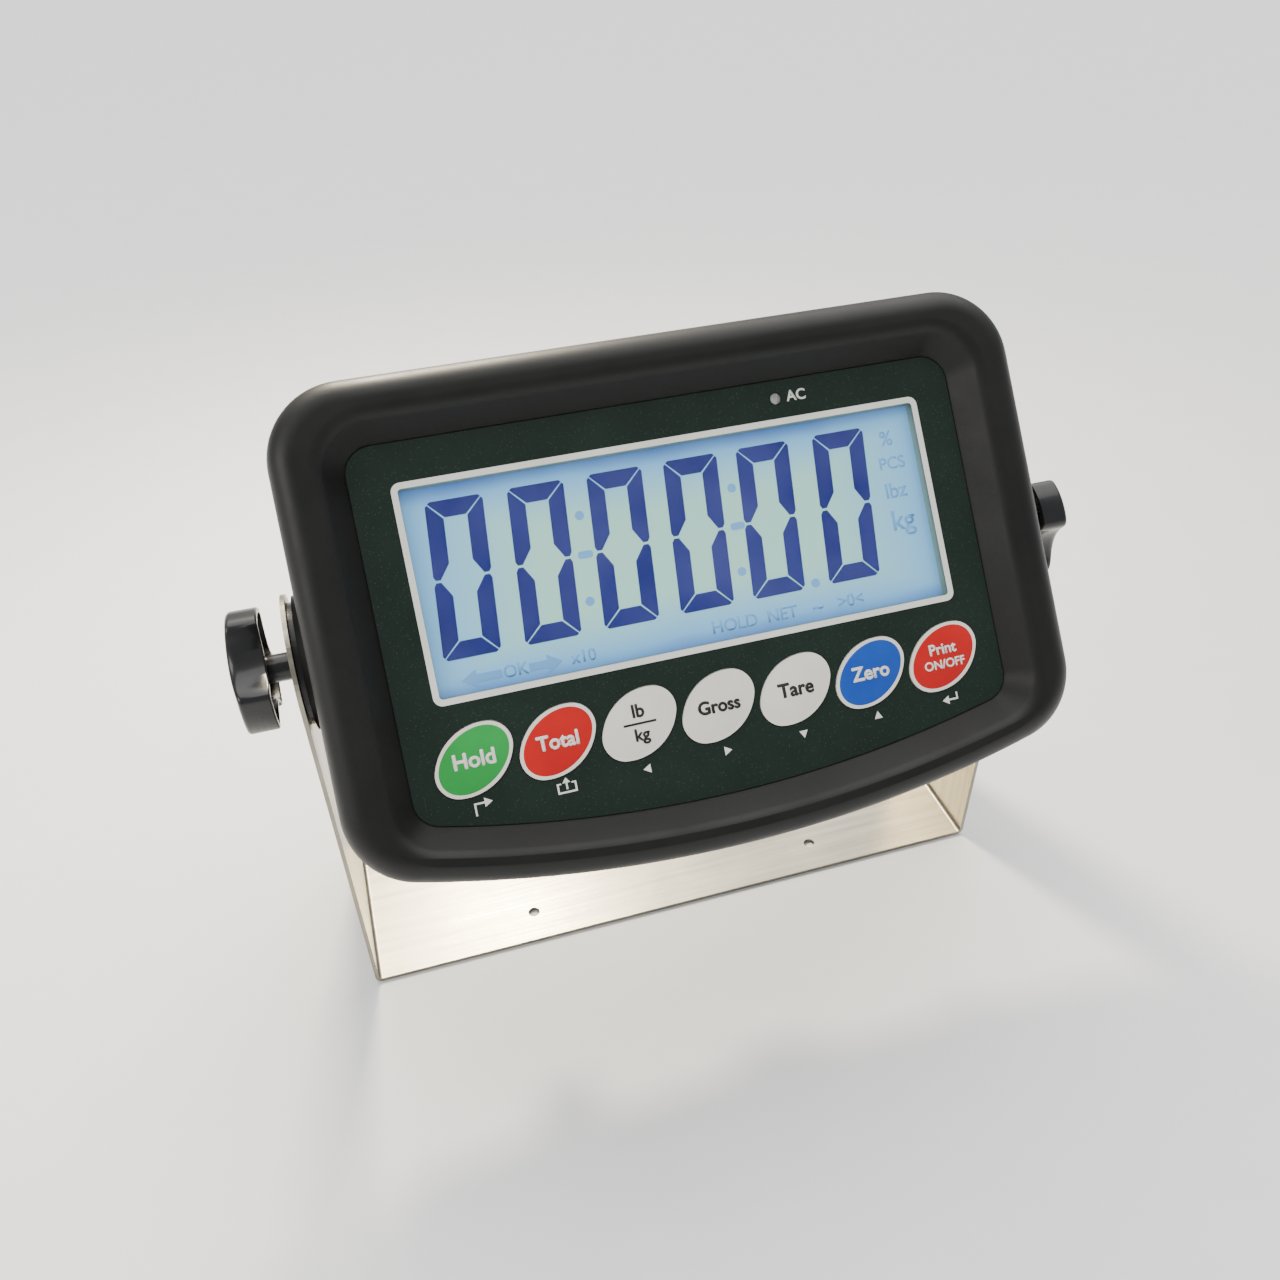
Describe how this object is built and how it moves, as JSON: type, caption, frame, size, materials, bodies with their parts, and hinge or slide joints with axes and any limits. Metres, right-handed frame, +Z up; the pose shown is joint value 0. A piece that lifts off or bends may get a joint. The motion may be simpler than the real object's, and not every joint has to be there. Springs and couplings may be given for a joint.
{
  "type": "pallet scale indicator",
  "caption": "Tilting display head for a floor or pallet scale, with a digital readout and a row of oval keys, clamped by side knobs in a folded steel bench bracket.",
  "frame": {"origin": "middle of the underside of the bracket's base", "axes": "+X to the right as one faces the display, +Y to the back, +Z up; the display faces -Y and up"},
  "size_m": [0.304, 0.1545, 0.2431],
  "materials": {
    "bracket_steel": "brushed",
    "housing_plastic": "fine matt grain",
    "seal_rubber": "matt",
    "screw_steel": "bright zinc",
    "face_sheet": "satin print under clear film",
    "window": "clear, slightly glossy",
    "display": "pale green and blue liquid crystal",
    "light_white": "frosted",
    "pale_plastic": "matt",
    "strip_rubber": "matt",
    "board_green": "solder mask",
    "chip_black": "matt",
    "switch_steel": "bright",
    "lamp_grey": "diffuse",
    "key_green": "satin",
    "key_red": "satin",
    "key_cream": "satin",
    "key_blue": "satin",
    "battery_case": "matt",
    "pin_brass": "bright",
    "strap_steel": "bright",
    "socket_metal": "bright",
    "socket_black": "satin",
    "washer_black": "satin",
    "knob_black": "satin gloss"
  },
  "bodies": {
    "bracket": {"bracket": "bracket_steel"},
    "housing": {"front_cover": "housing_plastic", "rear_cover": "housing_plastic", "cover_seal": "seal_rubber", "cover_screws": "screw_steel", "face_overlay": "face_sheet", "window_lens": "window", "display_glass": "display", "light_panel": "light_white", "display_holder": "pale_plastic", "contact_strips": "strip_rubber", "main_board": "board_green", "board_chips": "chip_black", "board_plugs": "pale_plastic", "board_screws": "screw_steel", "buzzer": "chip_black", "keypad_board": "board_green", "key_switches": "switch_steel", "keypad_header": "pale_plastic", "mains_lamp": "lamp_grey", "battery": "battery_case", "battery_terminals": "pin_brass", "battery_strap": "strap_steel", "strap_screws": "screw_steel", "load_cell_socket": "socket_metal", "load_cell_pins": "pin_brass", "serial_socket": "socket_metal", "charger_socket": "socket_black", "socket_seals": "seal_rubber", "socket_screws": "screw_steel", "vent_plug": "socket_black", "pivot_inserts": "pin_brass", "friction_washers": "washer_black"},
    "hold_key": {"hold_key": "key_green"},
    "total_key": {"total_key": "key_red"},
    "unit_key": {"unit_key": "key_cream"},
    "gross_key": {"gross_key": "key_cream"},
    "tare_key": {"tare_key": "key_cream"},
    "zero_key": {"zero_key": "key_blue"},
    "print_key": {"print_key": "key_red"},
    "left_knob": {"left_knob_grip": "knob_black", "left_knob_stud": "screw_steel"},
    "right_knob": {"right_knob_grip": "knob_black", "right_knob_stud": "screw_steel"}
  },
  "joints": [
    {"name": "tilt", "type": "hinge", "parent": "bracket", "child": "housing", "pos_m": [0, -0.0203, 0.1516], "axis": [1, 0, 0], "range_deg": [-52.5, 90]},
    {"name": "hold_press", "type": "slide", "parent": "housing", "child": "hold_key", "axis": [0, 0.7934, -0.6088], "range_m": [0, 0.0005], "stiffness_N_per_m": 2500, "springref_m": -0.0004},
    {"name": "total_press", "type": "slide", "parent": "housing", "child": "total_key", "axis": [0, 0.7934, -0.6088], "range_m": [0, 0.0005], "stiffness_N_per_m": 2500, "springref_m": -0.0004},
    {"name": "unit_press", "type": "slide", "parent": "housing", "child": "unit_key", "axis": [0, 0.7934, -0.6088], "range_m": [0, 0.0005], "stiffness_N_per_m": 2500, "springref_m": -0.0004},
    {"name": "gross_press", "type": "slide", "parent": "housing", "child": "gross_key", "axis": [0, 0.7934, -0.6088], "range_m": [0, 0.0005], "stiffness_N_per_m": 2500, "springref_m": -0.0004},
    {"name": "tare_press", "type": "slide", "parent": "housing", "child": "tare_key", "axis": [0, 0.7934, -0.6088], "range_m": [0, 0.0005], "stiffness_N_per_m": 2500, "springref_m": -0.0004},
    {"name": "zero_press", "type": "slide", "parent": "housing", "child": "zero_key", "axis": [0, 0.7934, -0.6088], "range_m": [0, 0.0005], "stiffness_N_per_m": 2500, "springref_m": -0.0004},
    {"name": "print_press", "type": "slide", "parent": "housing", "child": "print_key", "axis": [0, 0.7934, -0.6088], "range_m": [0, 0.0005], "stiffness_N_per_m": 2500, "springref_m": -0.0004},
    {"name": "left_knob_turn", "type": "hinge", "parent": "housing", "child": "left_knob", "pos_m": [0, -0.0203, 0.1516], "axis": [1, 0, 0], "continuous": true},
    {"name": "right_knob_turn", "type": "hinge", "parent": "housing", "child": "right_knob", "pos_m": [0, -0.0203, 0.1516], "axis": [1, 0, 0], "continuous": true}
  ]
}
